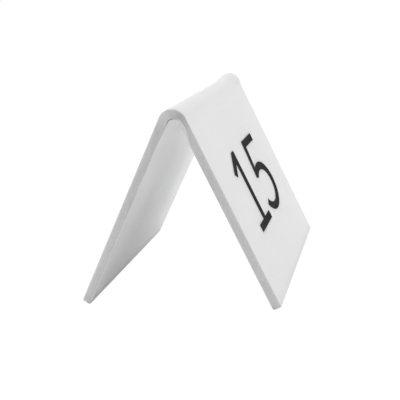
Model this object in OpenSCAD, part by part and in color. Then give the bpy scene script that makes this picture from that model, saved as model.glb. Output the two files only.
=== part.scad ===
// Table number holder: one strip of white sheet folded into a free-standing tent, with a
// two-digit number engraved into the outside of each leg and filled with dark paint.
//
// Frame: the fold runs along X, the front leg faces -Y, +Z is up, and the origin is on the
// table at the middle of the footprint.

/* [Sheet] */
// Width of the sheet, along the fold
sheet_w = 60; // [50:1:80]
// Thickness of the sheet
sheet_t = 2.5; // [2:0.1:3]
// Straight length of the front leg, from the bend to its cut foot
front_leg = 54.5; // [50:0.5:70]
// Straight length of the rear leg, from the bend to its cut foot
rear_leg = 59; // [50:0.5:70]

/* [Fold] */
// Angle between the two legs
fold_angle = 52; // [44:1:60]
// Radius on the inside of the bend
bend_r = 1.5; // [1:0.1:3]
// Height taken off each foot's lowest edge, which leaves the narrow flat that it stands on
foot_trim = 0.15; // [0.1:0.05:0.3]

/* [Numerals] */
// Height of the numerals
numeral_h = 23; // [16:0.5:26]
// Distance from the bend down to the top of the numerals
numeral_drop = 14.7; // [12:0.1:18]
// Thickness of level strokes
stroke_level = 2.3; // [1.4:0.1:2.6]
// Thickness of upright strokes
stroke_upright = 2.7; // [1.8:0.1:3.2]
// Depth of the engraved recesses
engraving_depth = 0.4; // [0.2:0.05:0.8]
// How far the paint lies below the face around it
paint_recess = 0.05; // [0.05:0.05:0.15]

/* [Hidden] */
$fn = 96;

// Overlap that carries a cutting shape past the face it cuts
past = 1;
bend_outer_r = bend_r + sheet_t;
// The bend is this much fuller than a curve tangent to the legs, so each leg runs cleanly into it
bend_fullness = 0.03;
// Angles, from the end of a leg's straight part, at which its faces meet the fuller curves
inner_meet = acos(bend_r / (bend_r + bend_fullness));
outer_meet = acos(bend_outer_r / (bend_outer_r + bend_fullness));
// How far the bend runs down into each leg, as an angle, and how far each leg runs up into the bend
bend_lap = (inner_meet + outer_meet) / 2;
leg_lap = (bend_r * tan(inner_meet) + bend_outer_r * tan(outer_meet)) / 2;

// Lean of each leg from the vertical, with both feet on the table. Each foot's lowest edge is
// leg * cos(lean) - bend_r * sin(lean) below the bend's centre, and the two leans add up to fold_angle.
lean_rise = front_leg - rear_leg * cos(fold_angle) + bend_r * sin(fold_angle);
lean_run = rear_leg * sin(fold_angle) + bend_r * (1 + cos(fold_angle));
front_lean = atan2(lean_rise, lean_run);
rear_lean = fold_angle - front_lean;

// Centre of the bend, over the middle of the footprint
front_reach = bend_outer_r * cos(front_lean) + front_leg * sin(front_lean);
rear_reach = bend_outer_r * cos(rear_lean) + rear_leg * sin(rear_lean);
bend_y = (front_reach - rear_reach) / 2;
bend_z = front_leg * cos(front_lean) - bend_r * sin(front_lean) - foot_trim;

// The numerals are drawn on a grid with 23 units to their height
unit = numeral_h / 23;
// The 1: its middle, its foot, and the flag's reach to the left, drop and blunt end
one_x = -9.8 * unit;
one_foot_w = 13.1 * unit;
flag_reach = 5.3 * unit;
flag_drop = 5.3 * unit;
flag_end = [1.75 * unit, -1.35 * unit];
flag_root_drop = 3.55 * unit;
// The 5: its bar, which stands a little above the 1, and its stem, which slants to the left as it
// comes down
five_top = 23.15 * unit;
five_left = 1.65 * unit;
five_bar_w = 12.2 * unit;
five_slant = 1.5 * unit;
five_stem_h = 11.4 * unit;
five_stem_w = stroke_upright - 0.1 * unit;
// The bowl's outer and inner ellipses: centre and half sizes
bowl_outer = [6.45 * unit, 7.35 * unit, 8.9 * unit, 7.6 * unit];
bowl_inner = [6.2 * unit, 7.35 * unit, 8.65 * unit - stroke_upright, 7.45 * unit - stroke_level];
// Angles at which the outer and inner curves leave the stem, and at which both end in the hook
outer_start = 112;
inner_start = 132;
hook_angle = -148;
bowl_steps = 40;

// Points along an ellipse between two angles
function ellipse_arc(e, from, to) = [
    for (i = [0 : bowl_steps])
        let (a = from + (to - from) * i / bowl_steps)
            [e[0] + e[2] * cos(a), e[1] + e[3] * sin(a)]
];

// Leg frame: x along the fold, y up the leg, z outward, with the bend's centre at the origin
module on_leg(lean, turn) {
    translate([0, bend_y, bend_z])
        rotate([0, 0, turn])
            rotate([90 - lean, 0, 0])
                children();
}

module on_front() {
    on_leg(front_lean, 0) children();
}

module on_rear() {
    on_leg(rear_lean, 180) children();
}

// Outline of the numeral 1, standing on y = 0
module outline_1() {
    left = one_x - stroke_upright / 2;
    right = one_x + stroke_upright / 2;
    foot_left = one_x - one_foot_w / 2;
    foot_right = one_x + one_foot_w / 2;
    tip = [left - flag_reach, numeral_h - flag_drop];
    polygon([
        [foot_left, 0],
        [foot_right, 0],
        [foot_right, stroke_level],
        [right, stroke_level],
        [right, numeral_h],
        [left, numeral_h],
        tip,
        tip + flag_end,
        [left, numeral_h - flag_root_drop],
        [left, stroke_level],
        [foot_left, stroke_level]
    ]);
}

// Outline of the numeral 5, whose bowl dips a little below y = 0
module outline_5() {
    polygon(concat(
        [
            [five_left - five_slant, five_top - five_stem_h],
            [five_left, five_top],
            [five_left + five_bar_w, five_top],
            [five_left + five_bar_w, five_top - stroke_level],
            [five_left + five_stem_w, five_top - stroke_level]
        ],
        ellipse_arc(bowl_outer, outer_start, hook_angle),
        ellipse_arc(bowl_inner, hook_angle, inner_start)
    ));
}

// Body of a numeral on the leg's outer face, from a depth below the face up to a height above it
module numeral(digit, depth, height) {
    translate([0, -numeral_drop - numeral_h, bend_outer_r - depth])
        linear_extrude(depth + height) {
            if (digit == 1) outline_1();
            if (digit == 5) outline_5();
        }
}

module recesses() {
    numeral(1, engraving_depth, past);
    numeral(5, engraving_depth, past);
}

module paint(digit) {
    color("dimgray") numeral(digit, engraving_depth, -paint_recess);
}

// Straight leg, cut over wide
module leg(length) {
    translate([-sheet_w / 2 - past, -length, bend_r]) cube([sheet_w + 2 * past, length + leg_lap, sheet_t]);
}

// The bend, cut wider still, and drawn from the rear leg's frame round to the front leg
module bend() {
    rotate([0, -90, 0])
        rotate([0, 0, -bend_lap])
            rotate_extrude(angle = 180 - fold_angle + 2 * bend_lap)
                translate([bend_r + bend_fullness, -sheet_w / 2 - 2 * past])
                    square([sheet_t, sheet_w + 4 * past]);
}

// The whole strip, cut to its width, trimmed level where the feet meet the table, and engraved
module tent_sheet() {
    color("white") difference() {
        intersection() {
            union() {
                on_front() leg(front_leg);
                on_rear() leg(rear_leg);
                on_rear() bend();
            }
            translate([-sheet_w / 2, -2 * rear_leg, 0]) cube([sheet_w, 4 * rear_leg, 2 * rear_leg]);
        }
        on_front() recesses();
        on_rear() recesses();
    }
}

module front_numeral_1() {
    on_front() paint(1);
}

module front_numeral_5() {
    on_front() paint(5);
}

module rear_numeral_1() {
    on_rear() paint(1);
}

module rear_numeral_5() {
    on_rear() paint(5);
}

tent_sheet();
front_numeral_1();
front_numeral_5();
rear_numeral_1();
rear_numeral_5();
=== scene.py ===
"""Looks of the table number holder: a folded white sheet with engraved, paint-filled numerals.

Lengths below are in millimetres, in the model's own frame: the fold runs along X, the front leg
faces -Y and +Z is up. MM turns them into metres as the meshes are made. Materials, lights and the
camera work in metres.
"""

import math

import bmesh
import bpy
from mathutils import Matrix, Vector


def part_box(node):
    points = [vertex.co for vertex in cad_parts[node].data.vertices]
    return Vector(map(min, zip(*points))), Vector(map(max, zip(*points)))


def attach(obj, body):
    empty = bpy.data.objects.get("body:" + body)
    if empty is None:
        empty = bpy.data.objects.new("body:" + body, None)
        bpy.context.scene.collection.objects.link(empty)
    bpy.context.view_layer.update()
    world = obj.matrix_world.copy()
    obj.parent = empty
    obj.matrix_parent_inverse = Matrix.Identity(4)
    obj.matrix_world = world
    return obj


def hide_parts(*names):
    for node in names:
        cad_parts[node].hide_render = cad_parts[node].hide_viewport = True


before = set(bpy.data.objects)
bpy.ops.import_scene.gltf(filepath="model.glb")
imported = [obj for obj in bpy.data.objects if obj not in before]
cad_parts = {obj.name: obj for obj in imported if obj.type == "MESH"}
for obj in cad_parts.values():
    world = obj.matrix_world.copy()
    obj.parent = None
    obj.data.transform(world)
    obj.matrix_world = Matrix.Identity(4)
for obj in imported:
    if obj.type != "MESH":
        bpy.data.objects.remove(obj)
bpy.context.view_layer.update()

MM = 0.001

# Driving sizes of the sheet, as in the design
SHEET_T = 2.5
FRONT_LEG = 54.5
REAR_LEG = 59.0
FOLD = math.radians(52)
BEND_R = 1.5
FOOT_TRIM = 0.15
HALF_T = SHEET_T / 2
BEND_MID_R = BEND_R + HALF_T
BEND_OUTER_R = BEND_R + SHEET_T
BEND_LEN = BEND_MID_R * (math.pi - FOLD)

# Where the bend starts and ends along the strip, measured from the front foot
BEND_START = FRONT_LEG
BEND_END = FRONT_LEG + BEND_LEN
STRIP_END = BEND_END + REAR_LEG

# Driving sizes of the numerals, as in the design
NUMERAL_H = 23.0
NUMERAL_DROP = 14.7
STROKE_LEVEL = 2.3
STROKE_UPRIGHT = 2.7
ENGRAVING_DEPTH = 0.4
PAINT_RECESS = 0.05

# How far the paint creeps up the walls of its recess, and how wide that creep is
CREEP = 0.04
CREEP_W = 0.22

# Softness of the sheet's edges
EDGE_R = 0.16
FOOT_R = 0.4

# How the heated bend has spread at its ends: the far end flares, and the inner corner is melted
# back on the front leg's side and swollen into a small lip on the rear leg's side. A LIP_GAIN
# above 1 brings the lip to its full height before the bend's end
FLARE_FAR = 1.0
FLARE_ZONE = 11.0
MELT_DEPTH = 0.8
MELT_HEIGHT = 1.15
MELT_CURVE = 1.5
MELT_START = -2.6
MELT_FULL = 1.2
MELT_END = 9.0
LIP = 0.46
LIP_ZONE = 2.0
LIP_REACH = 7.0
LIP_GAIN = 1.6

# Fineness of the sheet's skin: steps along each leg and the bend, across a face and across a cut edge
FRONT_STEPS = 26
BEND_STEPS = 40
REAR_STEPS = 28
WIDTH_STEPS = 30
EDGE_STEPS = 6

# Turns round a plain corner and round a foot, in degrees. A melted corner has as many steps as a
# plain one, as shares of its size
CORNER_TURNS = (0, 15, 30, 50, 70, 90)
MELT_STEPS = (0, 0.15, 0.35, 0.55, 0.8, 1)
FOOT_TURNS = (0, 30, 60)

# Edges that turn more than this stay sharp, and points closer than this, in metres, become one
SHARP_TURN = math.radians(32)
WELD_GAP = 1e-7

sheet_low, sheet_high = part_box("tent_sheet")
HALF_W = (sheet_high.x - sheet_low.x) / 2 / MM

# Lean of each leg from the vertical, with both feet level, and the centre of the bend
FRONT_LEAN = math.atan2(
    FRONT_LEG - REAR_LEG * math.cos(FOLD) + BEND_R * math.sin(FOLD),
    REAR_LEG * math.sin(FOLD) + BEND_R * (1 + math.cos(FOLD)),
)
REAR_LEAN = FOLD - FRONT_LEAN
FRONT_REACH = BEND_OUTER_R * math.cos(FRONT_LEAN) + FRONT_LEG * math.sin(FRONT_LEAN)
REAR_REACH = BEND_OUTER_R * math.cos(REAR_LEAN) + REAR_LEG * math.sin(REAR_LEAN)
BEND_Y = (FRONT_REACH - REAR_REACH) / 2
BEND_Z = FRONT_LEG * math.cos(FRONT_LEAN) - BEND_R * math.sin(FRONT_LEAN) - FOOT_TRIM

# The legs, as signs of the way each one faces along Y
FRONT, REAR = -1, 1


def lean_of(leg):
    """Lean of a leg from the vertical."""
    return FRONT_LEAN if leg == FRONT else REAR_LEAN


def smooth(t):
    """0 to 1 with level ends."""
    t = min(max(t, 0.0), 1.0)
    return t * t * (3 - 2 * t)


def spaced(start, end, count):
    """Evenly spaced values, both ends included."""
    return [start + (end - start) * i / count for i in range(count + 1)]


# ---------------------------------------------------------------- sheet

def melt_share(down):
    """Share of the melted corner by distance down the front leg, below zero on the bend."""
    rise = smooth((down - MELT_START) / (MELT_FULL - MELT_START))
    return rise * smooth((MELT_END - down) / (MELT_END - MELT_FULL))


def station(y, z, angle, along, bend=0.0, melt=0.0, lip=0.0):
    """A place on the mid line: point, outward normal, length so far, shares of the end effects."""
    return {
        "y": y, "z": z, "ny": math.cos(angle), "nz": math.sin(angle), "along": along,
        "bend": bend, "melt": melt, "lip": lip,
    }


def leg_station(leg, down, along):
    """A station on a straight leg, at a distance down from the bend."""
    lean = lean_of(leg)
    y = BEND_Y + leg * (BEND_MID_R * math.cos(lean) + down * math.sin(lean))
    z = BEND_Z + BEND_MID_R * math.sin(lean) - down * math.cos(lean)
    if leg == FRONT:
        return station(y, z, math.pi - lean, along, melt=melt_share(down))
    return station(y, z, lean, along, lip=smooth(1 - down / LIP_REACH))


def bend_station(t, along):
    """A station on the bend, t from 0 at the front leg to 1 at the rear leg."""
    angle = (math.pi - FRONT_LEAN) * (1 - t) + REAR_LEAN * t
    y = BEND_Y + BEND_MID_R * math.cos(angle)
    z = BEND_Z + BEND_MID_R * math.sin(angle)
    melt = melt_share(-t * BEND_LEN)
    return station(y, z, angle, along, math.sin(math.pi * t), melt, smooth(t * LIP_GAIN))


def mid_line():
    """Stations from the front foot over the bend to the rear foot."""
    front = spaced(FRONT_LEG - FOOT_R, 0, FRONT_STEPS)
    bend = spaced(0, 1, BEND_STEPS)[1:-1]
    rear = spaced(0, REAR_LEG - FOOT_R, REAR_STEPS)
    stations = [leg_station(FRONT, down, FRONT_LEG - down) for down in front]
    stations += [bend_station(t, BEND_START + BEND_LEN * t) for t in bend]
    stations += [leg_station(REAR, down, BEND_END + down) for down in rear]
    return stations


def corner_steps():
    """Corner points as shares of a corner's size: in from the side, and in from the face."""
    turns = [math.radians(a) for a in CORNER_TURNS]
    return [(1 - math.cos(a), 1 - math.sin(a)) for a in turns]


def melted_steps():
    """The same for a melted corner, which leaves the side gently and meets the face at an angle."""
    return [(u ** MELT_CURVE, 1 - u) for u in MELT_STEPS]


def section(melt=0.0):
    """Points round the sheet's section: across the width, and outward from the mid line."""
    flat = HALF_W - EDGE_R
    steps = [-flat + 2 * flat * smooth(t) for t in spaced(0, 1, WIDTH_STEPS)]
    outer = [(x, HALF_T) for x in steps[1:-1]]
    outer_corner = [(HALF_W - EDGE_R * a, HALF_T - EDGE_R * b) for a, b in reversed(corner_steps())]
    inner_corner = []
    for (a, b), (melt_a, melt_b) in zip(corner_steps(), melted_steps()):
        x = HALF_W - EDGE_R * a * (1 - melt) - MELT_DEPTH * melt_a * melt
        h = HALF_T - EDGE_R * b * (1 - melt) - MELT_HEIGHT * melt_b * melt
        inner_corner.append((x, -h))
    side_top = outer_corner[-1][1]
    side_low = inner_corner[0][1]
    side = [(HALF_W, h) for h in spaced(side_top, side_low, EDGE_STEPS)[1:-1]]
    reach = inner_corner[-1][0]
    inner = [(x * reach / flat, -HALF_T) for x in reversed(steps[1:-1])]
    right = outer_corner + side + inner_corner
    left = [(-x, h) for x, h in reversed(right)]
    return outer + right + inner + left


def spread(x, h, at):
    """How the bend has spread near its ends, as a shift outward from the mid line."""
    inward = HALF_W - abs(x)
    lift = 0.0
    if x > 0:
        lift += FLARE_FAR * smooth(1 - inward / FLARE_ZONE) * at["bend"]
    if h < 0:
        lift += LIP * smooth(1 - inward / LIP_ZONE) * at["lip"] * h / HALF_T
    return lift


def sheet_ring(bm, at, outline, shrink):
    """One ring of the sheet's skin, drawn in by shrink all round and never below the table."""
    ring = []
    for x, h in outline:
        x_in = x - x / HALF_W * shrink
        h_in = h - h / HALF_T * shrink
        off = h_in + spread(x, h, at)
        point = Vector((x_in, at["y"] + off * at["ny"], at["z"] + off * at["nz"]))
        point.z = max(point.z, 0.0)
        ring.append(bm.verts.new(point * MM))
    return ring


def foot_rings(bm, leg, along, outline):
    """Rings that round a foot's edges, from the cut face inward."""
    leg_len = FRONT_LEG if leg == FRONT else REAR_LEG
    rings = []
    for turn in FOOT_TURNS:
        inset = FOOT_R * (1 - math.sin(math.radians(turn)))
        down = leg_len - FOOT_R * (1 - math.cos(math.radians(turn)))
        ring = sheet_ring(bm, leg_station(leg, down, along), outline, inset)
        rings.append((ring, along, outline))
    return rings


def skin_band(bm, strip, lower, upper, plain):
    """The faces between two neighbouring rings, with their places along and across the strip."""
    (ring_a, along_a, outline_a), (ring_b, along_b, outline_b) = lower, upper
    for i in range(len(plain)):
        j = (i + 1) % len(plain)
        face = bm.faces.new((ring_a[i], ring_a[j], ring_b[j], ring_b[i]))
        cut = abs(plain[i][0]) == HALF_W and abs(plain[j][0]) == HALF_W
        face.material_index = 1 if cut else 0
        corners = (
            (along_a, outline_a[i]), (along_a, outline_a[j]),
            (along_b, outline_b[j]), (along_b, outline_b[i]),
        )
        for loop, (along, (x, h)) in zip(face.loops, corners):
            loop[strip].uv = (along * MM, (h if cut else x) * MM)


def foot_face(bm, strip, ring, plain, flip):
    """The cut face that closes the skin at a foot."""
    order = list(range(len(plain)))
    if flip:
        order.reverse()
    face = bm.faces.new([ring[k] for k in order])
    face.material_index = 1
    for loop, k in zip(face.loops, order):
        loop[strip].uv = (plain[k][0] * MM, plain[k][1] * MM)


def sheet_mesh():
    """The whole sheet as one closed skin, with the cut ends and feet in the second material."""
    bm = bmesh.new()
    strip = bm.loops.layers.uv.new("strip")
    plain = section()
    stations = mid_line()
    rings = foot_rings(bm, FRONT, 0.0, plain)
    for at in stations:
        outline = section(at["melt"])
        rings.append((sheet_ring(bm, at, outline, 0.0), at["along"], outline))
    rings += reversed(foot_rings(bm, REAR, stations[-1]["along"] + FOOT_R, plain))
    for lower, upper in zip(rings, rings[1:]):
        skin_band(bm, strip, lower, upper, plain)
    foot_face(bm, strip, rings[0][0], plain, True)
    foot_face(bm, strip, rings[-1][0], plain, False)
    bmesh.ops.recalc_face_normals(bm, faces=bm.faces)
    return bm


# ---------------------------------------------------------------- numerals

# The numerals are drawn on a grid with 23 units to their height
UNIT = NUMERAL_H / 23

# The 1: its middle, half its foot, and the flag's reach to the left, drop and blunt end
ONE_X = -9.8 * UNIT
ONE_FOOT_HALF = 6.55 * UNIT
FLAG_REACH = 5.3 * UNIT
FLAG_DROP = 5.3 * UNIT
FLAG_END = (1.75 * UNIT, -1.35 * UNIT)
FLAG_ROOT_DROP = 3.55 * UNIT

# The 5: its bar, which stands a little above the 1, and its stem, which slants as it comes down
FIVE_TOP = 23.15 * UNIT
FIVE_LEFT = 1.65 * UNIT
FIVE_BAR_W = 12.2 * UNIT
FIVE_SLANT = 1.5 * UNIT
FIVE_STEM_H = 11.4 * UNIT
FIVE_STEM_W = STROKE_UPRIGHT - 0.1 * UNIT

# The bowl's outer and inner ellipses: centre and half sizes. Then the angles, in degrees, at which
# the two curves leave the stem, and at which both end in the hook
BOWL_OUTER = (6.45 * UNIT, 7.35 * UNIT, 8.9 * UNIT, 7.6 * UNIT)
BOWL_INNER = (6.2 * UNIT, 7.35 * UNIT, 8.65 * UNIT - STROKE_UPRIGHT, 7.45 * UNIT - STROKE_LEVEL)
OUTER_START = 112
INNER_START = 132
HOOK_ANGLE = -148
BOWL_STEPS = 72

# How far a cutter reaches past the face it cuts
CUT_PAST = 0.5


def ellipse_arc(ellipse, start, end):
    """Points along an ellipse given as centre and half sizes, between two angles in degrees."""
    x, y, half_w, half_h = ellipse
    angles = [math.radians(a) for a in spaced(start, end, BOWL_STEPS)]
    return [(x + half_w * math.cos(a), y + half_h * math.sin(a)) for a in angles]


def outline_1():
    """The numeral 1, standing on y = 0."""
    left = ONE_X - STROKE_UPRIGHT / 2
    right = ONE_X + STROKE_UPRIGHT / 2
    tip = (left - FLAG_REACH, NUMERAL_H - FLAG_DROP)
    return [
        (ONE_X - ONE_FOOT_HALF, 0),
        (ONE_X + ONE_FOOT_HALF, 0),
        (ONE_X + ONE_FOOT_HALF, STROKE_LEVEL),
        (right, STROKE_LEVEL),
        (right, NUMERAL_H),
        (left, NUMERAL_H),
        tip,
        (tip[0] + FLAG_END[0], tip[1] + FLAG_END[1]),
        (left, NUMERAL_H - FLAG_ROOT_DROP),
        (left, STROKE_LEVEL),
        (ONE_X - ONE_FOOT_HALF, STROKE_LEVEL),
    ]


def outline_5():
    """The numeral 5, whose bowl dips a little below y = 0."""
    head = [
        (FIVE_LEFT - FIVE_SLANT, FIVE_TOP - FIVE_STEM_H),
        (FIVE_LEFT, FIVE_TOP),
        (FIVE_LEFT + FIVE_BAR_W, FIVE_TOP),
        (FIVE_LEFT + FIVE_BAR_W, FIVE_TOP - STROKE_LEVEL),
        (FIVE_LEFT + FIVE_STEM_W, FIVE_TOP - STROKE_LEVEL),
    ]
    outer = ellipse_arc(BOWL_OUTER, OUTER_START, HOOK_ANGLE)
    inner = ellipse_arc(BOWL_INNER, HOOK_ANGLE, INNER_START)
    return head + outer + inner


OUTLINES = {"1": outline_1(), "5": outline_5()}


def leg_frame(leg):
    """Leg frame to model frame: x along the fold, y up the leg, z out from the bend's centre."""
    place = Matrix.Translation((0, BEND_Y, BEND_Z))
    turn = Matrix.Rotation(0 if leg == FRONT else math.pi, 4, "Z")
    tilt = Matrix.Rotation(math.pi / 2 - lean_of(leg), 4, "X")
    return place @ turn @ tilt


def numeral_ring(bm, leg, outline, height):
    """The outline as a closed ring of points at a height above the leg's outer face."""
    to_model = leg_frame(leg)
    foot_y = -NUMERAL_DROP - NUMERAL_H
    return [
        bm.verts.new((to_model @ Vector((x, foot_y + y, BEND_OUTER_R + height))) * MM)
        for x, y in outline
    ]


def numeral_solid(leg, digit, low, high):
    """A numeral's outline drawn between two heights above the leg's face, and its top face."""
    bm = bmesh.new()
    ring_a = numeral_ring(bm, leg, OUTLINES[digit], low)
    ring_b = numeral_ring(bm, leg, OUTLINES[digit], high)
    for i in range(len(ring_a)):
        j = (i + 1) % len(ring_a)
        bm.faces.new((ring_a[i], ring_a[j], ring_b[j], ring_b[i]))
    bm.faces.new(ring_a)
    top = bm.faces.new(ring_b)
    bmesh.ops.recalc_face_normals(bm, faces=bm.faces)
    return bm, top


def cutter_mesh(leg, digit):
    """A solid that cuts one numeral's recess."""
    bm, _ = numeral_solid(leg, digit, -ENGRAVING_DEPTH, CUT_PAST)
    return bm


def paint_mesh(leg, digit):
    """The paint in one recess: it creeps a little up the walls and lies level between them."""
    bm, top = numeral_solid(leg, digit, -ENGRAVING_DEPTH, CREEP - PAINT_RECESS)
    down = top.normal * -CREEP * MM
    bmesh.ops.inset_region(bm, faces=[top], thickness=CREEP_W * MM, use_even_offset=True)
    for vert in top.verts:
        vert.co += down
    return bm


# ---------------------------------------------------------------- objects

def soften(bm):
    """Shades a mesh smooth, except at its sharp edges."""
    for face in bm.faces:
        face.smooth = True
    for edge in bm.edges:
        edge.smooth = len(edge.link_faces) == 2 and edge.calc_face_angle(0) < SHARP_TURN


def make_object(name, bm, materials):
    """A new object from a bmesh, smooth except at its sharp edges."""
    soften(bm)
    mesh = bpy.data.meshes.new(name)
    bm.to_mesh(mesh)
    bm.free()
    for material in materials:
        mesh.materials.append(material)
    piece = bpy.data.objects.new(name, mesh)
    bpy.context.scene.collection.objects.link(piece)
    return piece


def engrave(piece, cutters):
    """Cuts every cutter out of the piece and removes the cutters."""
    for cutter in cutters:
        cut = piece.modifiers.new("engrave", "BOOLEAN")
        cut.operation = "DIFFERENCE"
        cut.solver = "EXACT"
        cut.object = cutter
    solid = piece.evaluated_get(bpy.context.evaluated_depsgraph_get())
    carved = bpy.data.meshes.new_from_object(solid)
    piece.modifiers.clear()
    piece.data = carved
    for cutter in cutters:
        bpy.data.objects.remove(cutter)
    bm = bmesh.new()
    bm.from_mesh(carved)
    bmesh.ops.remove_doubles(bm, verts=bm.verts, dist=WELD_GAP)
    soften(bm)
    bm.to_mesh(carved)
    bm.free()


# ---------------------------------------------------------------- materials

class Nodes:
    """A few short ways to write node trees."""

    def __init__(self, name):
        self.material = bpy.data.materials.new(name)
        self.material.use_nodes = True
        self.tree = self.material.node_tree
        self.tree.nodes.clear()
        self.shader = self.add("ShaderNodeBsdfPrincipled")
        self.out = self.add("ShaderNodeOutputMaterial")
        self.link(self.shader.outputs["BSDF"], self.out.inputs["Surface"])

    def add(self, kind, **settings):
        node = self.tree.nodes.new(kind)
        for key, value in settings.items():
            setattr(node, key, value)
        return node

    def link(self, output, socket):
        self.tree.links.new(output, socket)

    def feed(self, output, name):
        """Links an output to one of the shader's inputs."""
        self.link(output, self.shader.inputs[name])

    def place(self):
        """The place on the object, in metres."""
        return self.add("ShaderNodeTexCoord").outputs["Object"]

    def strip(self):
        """The place on the strip, in metres: as a vector, then along it, then across it."""
        whole = self.add("ShaderNodeUVMap", uv_map="strip").outputs["UV"]
        apart = self.add("ShaderNodeSeparateXYZ")
        self.link(whole, apart.inputs["Vector"])
        return whole, apart.outputs["X"], apart.outputs["Y"]

    def noise(self, vector, scale, detail, roughness=0.55):
        node = self.add("ShaderNodeTexNoise")
        node.inputs["Scale"].default_value = scale
        node.inputs["Detail"].default_value = detail
        node.inputs["Roughness"].default_value = roughness
        self.link(vector, node.inputs["Vector"])
        return node.outputs["Fac"]

    def ramp(self, value, low, high, from_low=0.3, from_high=0.7):
        """A value brought to a new range. The old one is by default the middle of a noise."""
        node = self.add("ShaderNodeMapRange", clamp=True)
        self.link(value, node.inputs["Value"])
        node.inputs["From Min"].default_value = from_low
        node.inputs["From Max"].default_value = from_high
        node.inputs["To Min"].default_value = low
        node.inputs["To Max"].default_value = high
        return node.outputs["Result"]

    def tone(self, noise, tones):
        """A colour between a dark and a light one, by a noise."""
        node = self.add("ShaderNodeMix", data_type="RGBA")
        self.link(self.ramp(noise, 0, 1), node.inputs["Factor"])
        for name, colour in zip("AB", tones):
            node.inputs[name].default_value = (*colour, 1)
        return node.outputs["Result"]

    def stretch(self, vector, scale):
        node = self.add("ShaderNodeMapping")
        node.inputs["Scale"].default_value = scale
        self.link(vector, node.inputs["Vector"])
        return node.outputs["Vector"]

    def bump(self, height, distance, under=None):
        node = self.add("ShaderNodeBump")
        node.inputs["Strength"].default_value = 1.0
        node.inputs["Distance"].default_value = distance
        self.link(height, node.inputs["Height"])
        if under is not None:
            self.link(under, node.inputs["Normal"])
        return node.outputs["Normal"]

    def profile(self, value, points):
        """A smooth curve through (millimetres, level) points, for a value in metres."""
        node = self.add("ShaderNodeValToRGB")
        ramp = node.color_ramp
        ramp.interpolation = "EASE"
        low, high = points[0][0], points[-1][0]
        for i, (at, level) in enumerate(points):
            stop = ramp.elements[i] if i < 2 else ramp.elements.new(1.0)
            stop.position = (at - low) / (high - low)
            stop.color = (level, level, level, 1)
        self.link(self.ramp(value, 0.0, 1.0, low * MM, high * MM), node.inputs["Fac"])
        return node.outputs["Color"]

    def times(self, a, b):
        node = self.add("ShaderNodeMath", operation="MULTIPLY")
        self.link(a, node.inputs[0])
        self.link(b, node.inputs[1])
        return node.outputs["Value"]

    def shade(self, colour, level):
        """A colour made darker by a level from 0 to 1."""
        node = self.add("ShaderNodeMix", data_type="RGBA", blend_type="MULTIPLY")
        node.inputs["Factor"].default_value = 1.0
        self.link(colour, node.inputs["A"])
        self.link(level, node.inputs["B"])
        return node.outputs["Result"]

    def glow_through(self):
        """Lets light wander a little way inside the white plastic."""
        self.shader.inputs["Subsurface Weight"].default_value = SHEET_GLOW
        self.shader.inputs["Subsurface Radius"].default_value = (1, 1, 1)
        self.shader.inputs["Subsurface Scale"].default_value = SHEET_GLOW_DEPTH


# Share of the light that wanders inside the white plastic, and how far it goes, in metres
SHEET_GLOW = 0.7
SHEET_GLOW_DEPTH = 0.003

# Dark and light end of each surface's tone
FACE_RANGE = ((0.93, 0.93, 0.931), (0.96, 0.96, 0.96))
SAWN_RANGE = ((0.8, 0.8, 0.803), (0.91, 0.91, 0.91))
PAINT_RANGE = ((0.008, 0.008, 0.0085), (0.015, 0.015, 0.0155))

# Painted shade along the cut edge, as distances from the front foot and levels: darkest where
# the front leg meets the bend
EDGE_PAINTED_SHADE = (
    (0, 0.96), (BEND_START - 12, 0.9), (BEND_START - 4, 0.88), (BEND_START + 1, 0.71),
    (BEND_START + 3, 0.85), (BEND_END - 1, 0.95), (BEND_END + 4, 0.87), (BEND_END + 22, 0.89),
    (BEND_END + 38, 0.94), (STRIP_END, 0.95),
)

# The same for the faces, with painted shade that dims them over the bend
FACE_PAINTED_SHADE = (
    (0, 1.0), (BEND_START - 10, 1.0), (BEND_START - 3, 0.975), (BEND_START - 0.5, 0.95),
    (BEND_START + 1.2, 0.868), (BEND_START + 2.5, 0.85), (BEND_START + 3.2, 0.885),
    (BEND_END - 1, 0.9), (BEND_END + 8, 0.95), (BEND_END + 20, 1.0), (STRIP_END, 1.0),
)

# The painted shadow line at the bend's inner corner: where it runs along the edge, where it lies
# outward from the mid line, and its tone
SHADOW_LINE_RUN = ((BEND_START + 2.2, 0), (BEND_START + 3.5, 1), (BEND_END, 1), (BEND_END + 1.2, 0))
SHADOW_LINE_WIDTH = ((-1.09, 0), (-1.03, 1), (-0.97, 1), (-0.85, 0))
SHADOW_LINE_TONE = 0.4


def sheet_face_material():
    """Satin white cast sheet: even away from the bend, with a very fine grain, a slow unevenness in
    its gloss and painted shade over the bend.
    """
    n = Nodes("sheet_face")
    place = n.place()
    _, along, _ = n.strip()
    cloud = n.noise(place, scale=45.0, detail=3.0)
    grain = n.noise(place, scale=2600.0, detail=2.0)
    # the face colour carries painted shade over the bend
    n.feed(n.shade(n.tone(cloud, FACE_RANGE), n.profile(along, FACE_PAINTED_SHADE)), "Base Color")
    n.feed(n.ramp(cloud, 0.42, 0.5), "Roughness")
    soft = n.bump(cloud, distance=0.00006)
    n.feed(n.bump(grain, distance=0.000008, under=soft), "Normal")
    n.shader.inputs["Specular IOR Level"].default_value = 0.4
    n.glow_through()
    return n.material


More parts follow.
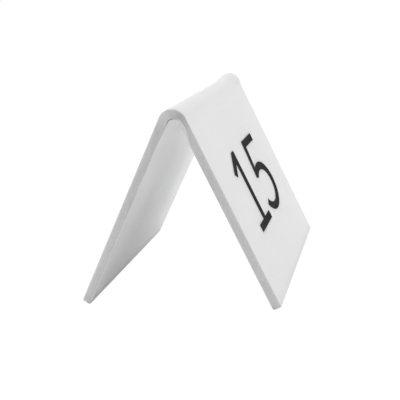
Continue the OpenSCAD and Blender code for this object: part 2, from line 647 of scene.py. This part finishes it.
def sawn_edge_material():
    """The sheet's cut edges: matt, a touch greyer, with fine tool lines that run along the cut.

    The edge has painted shade along it, darkest beside the bend, and a thin painted shadow line at
    the bend's inner corner.
    """
    n = Nodes("sawn_edge")
    place = n.place()
    strip, along, across = n.strip()
    lines = n.noise(n.stretch(strip, (120.0, 4200.0, 1.0)), scale=1.0, detail=3.0, roughness=0.6)
    chatter = n.noise(n.stretch(strip, (2400.0, 300.0, 1.0)), scale=1.0, detail=2.0)
    dust = n.noise(place, scale=3200.0, detail=2.0)
    mottle = n.ramp(n.noise(place, scale=1100.0, detail=3.0), 0.93, 1.03)
    # painted shadow line beside the lip at the bend's inner corner
    shadow_line = n.times(n.profile(along, SHADOW_LINE_RUN), n.profile(across, SHADOW_LINE_WIDTH))
    plain = n.shade(n.tone(lines, SAWN_RANGE), mottle)
    # painted shade along the cut edge, darkest beside the bend
    edge_with_painted_shade = n.shade(plain, n.profile(along, EDGE_PAINTED_SHADE))
    n.feed(n.shade(edge_with_painted_shade, n.ramp(shadow_line, 1.0, SHADOW_LINE_TONE, 0.0, 1.0)), "Base Color")
    n.feed(n.ramp(lines, 0.6, 0.5), "Roughness")
    grooves = n.bump(lines, distance=0.00003)
    marks = n.bump(chatter, distance=0.00001, under=grooves)
    n.feed(n.bump(dust, distance=0.000006, under=marks), "Normal")
    n.shader.inputs["Specular IOR Level"].default_value = 0.35
    n.glow_through()
    return n.material


def paint_material():
    """Matt black paint with a faint mottle and brushed-out unevenness."""
    n = Nodes("numeral_paint")
    place = n.place()
    mottle = n.noise(place, scale=700.0, detail=4.0)
    grain = n.noise(place, scale=5200.0, detail=2.0)
    n.feed(n.tone(mottle, PAINT_RANGE), "Base Color")
    n.feed(n.ramp(mottle, 0.6, 0.75), "Roughness")
    soft = n.bump(mottle, distance=0.00004)
    n.feed(n.bump(grain, distance=0.00001, under=soft), "Normal")
    n.shader.inputs["Specular IOR Level"].default_value = 0.12
    return n.material


FACE = sheet_face_material()
SAWN = sawn_edge_material()
PAINT = paint_material()


# ---------------------------------------------------------------- pieces

def dress_frame():
    """The CAD nodes take the finished materials too."""
    for name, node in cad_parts.items():
        node.data.materials.clear()
        node.data.materials.append(FACE if name == "tent_sheet" else PAINT)


def build_sheet():
    sheet = make_object("folded_sheet", sheet_mesh(), [FACE, SAWN])
    cutters = [
        make_object("cutter", cutter_mesh(leg, digit), [FACE])
        for leg in (FRONT, REAR)
        for digit in OUTLINES
    ]
    engrave(sheet, cutters)
    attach(sheet, "root")
    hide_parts("tent_sheet")


def build_paint():
    for name, leg in (("front", FRONT), ("rear", REAR)):
        for digit in OUTLINES:
            paint = make_object(f"{name}_paint_{digit}", paint_mesh(leg, digit), [PAINT])
            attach(paint, "root")
            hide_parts(f"{name}_numeral_{digit}")


dress_frame()
build_sheet()
build_paint()


# ---------------------------------------------------------------- studio

# Floor: its width, its tone, and the glow that the camera sees over it, as a share and a strength
FLOOR_W = 6.0
FLOOR_TONE = (0.9, 0.9, 0.9)
FLOOR_GLOW_SHARE = 0.85
FLOOR_GLOW = 1.12

# Strength of the room's light on the near side, at -X, and on the far side
ROOM_LIGHT = (0.21, 1.13)

# Lamps: power in watts, width, place and aim
LAMPS = {
    "top": (3.2, 0.6, (0.0, 0.0, 1.1), (0, 0, 0.027)),
    "inside": (0.0042, 0.024, (0.07, -0.012, 0.014), (0, 0.012, 0.012)),
}

# Camera: lens and sensor width in millimetres, the nearest and farthest that it sees, its place, and
# its turn in degrees
LENS = 60.05
SENSOR_W = 36
SIGHT = (0.01, 20)
CAMERA_PLACE = (-0.18434, -0.06011, 0.07897)
CAMERA_TURN = (73.227, 6.166, -73.772)


def floor_material():
    """Plain white table. The camera sees a glow over it, so shadows on it are faint."""
    n = Nodes("studio_floor")
    n.shader.inputs["Base Color"].default_value = (*FLOOR_TONE, 1)
    n.shader.inputs["Roughness"].default_value = 0.9
    n.shader.inputs["Specular IOR Level"].default_value = 0.0
    glow = n.add("ShaderNodeEmission")
    glow.inputs["Strength"].default_value = FLOOR_GLOW
    seen = n.add("ShaderNodeLightPath").outputs["Is Camera Ray"]
    mix = n.add("ShaderNodeMixShader")
    n.link(n.ramp(seen, 0.0, FLOOR_GLOW_SHARE, 0.0, 1.0), mix.inputs["Fac"])
    n.link(n.shader.outputs["BSDF"], mix.inputs[1])
    n.link(glow.outputs["Emission"], mix.inputs[2])
    n.link(mix.outputs["Shader"], n.out.inputs["Surface"])
    return n.material


def make_floor():
    bm = bmesh.new()
    bmesh.ops.create_grid(bm, x_segments=8, y_segments=8, size=FLOOR_W / 2)
    return make_object("floor", bm, [floor_material()])


def area_light(name, power, width, place, target):
    """A soft square light aimed at a point, unseen by the camera."""
    data = bpy.data.lights.new(name, "AREA")
    data.shape = "SQUARE"
    data.size = width
    data.energy = power
    lamp = bpy.data.objects.new(name, data)
    lamp.location = place
    lamp.visible_camera = False
    lamp.rotation_euler = (Vector(target) - Vector(place)).to_track_quat("-Z", "Y").to_euler()
    bpy.context.scene.collection.objects.link(lamp)


def world_light(near, far):
    """Soft room light, from its strength on the near side to the far side.

    The camera sees the room as plain white.
    """
    world = bpy.data.worlds.new("studio")
    world.use_nodes = True
    nodes, links = world.node_tree.nodes, world.node_tree.links
    room = nodes["Background"]
    apart = nodes.new("ShaderNodeSeparateXYZ")
    links.new(nodes.new("ShaderNodeTexCoord").outputs["Generated"], apart.inputs["Vector"])
    across = nodes.new("ShaderNodeMapRange")
    links.new(apart.outputs["X"], across.inputs["Value"])
    across.inputs["From Min"].default_value = -1
    across.inputs["From Max"].default_value = 1
    across.inputs["To Min"].default_value = near
    across.inputs["To Max"].default_value = far
    links.new(across.outputs["Result"], room.inputs["Strength"])
    white = nodes.new("ShaderNodeBackground")
    for back in (room, white):
        back.inputs["Color"].default_value = (1, 1, 1, 1)
    seen = nodes.new("ShaderNodeLightPath").outputs["Is Camera Ray"]
    mix = nodes.new("ShaderNodeMixShader")
    links.new(seen, mix.inputs["Fac"])
    links.new(room.outputs["Background"], mix.inputs[1])
    links.new(white.outputs["Background"], mix.inputs[2])
    links.new(mix.outputs["Shader"], nodes["World Output"].inputs["Surface"])
    bpy.context.scene.world = world


def set_camera():
    data = bpy.data.cameras.new("camera")
    data.sensor_width = SENSOR_W
    data.lens = LENS
    data.clip_start, data.clip_end = SIGHT
    eye = bpy.data.objects.new("camera", data)
    eye.location = CAMERA_PLACE
    eye.rotation_euler = [math.radians(a) for a in CAMERA_TURN]
    bpy.context.scene.collection.objects.link(eye)
    bpy.context.scene.camera = eye


floor = make_floor()
world_light(*ROOM_LIGHT)
for lamp_name, settings in LAMPS.items():
    area_light(lamp_name, *settings)
set_camera()

view = bpy.context.scene.view_settings
view.view_transform = "Standard"
view.look = "None"
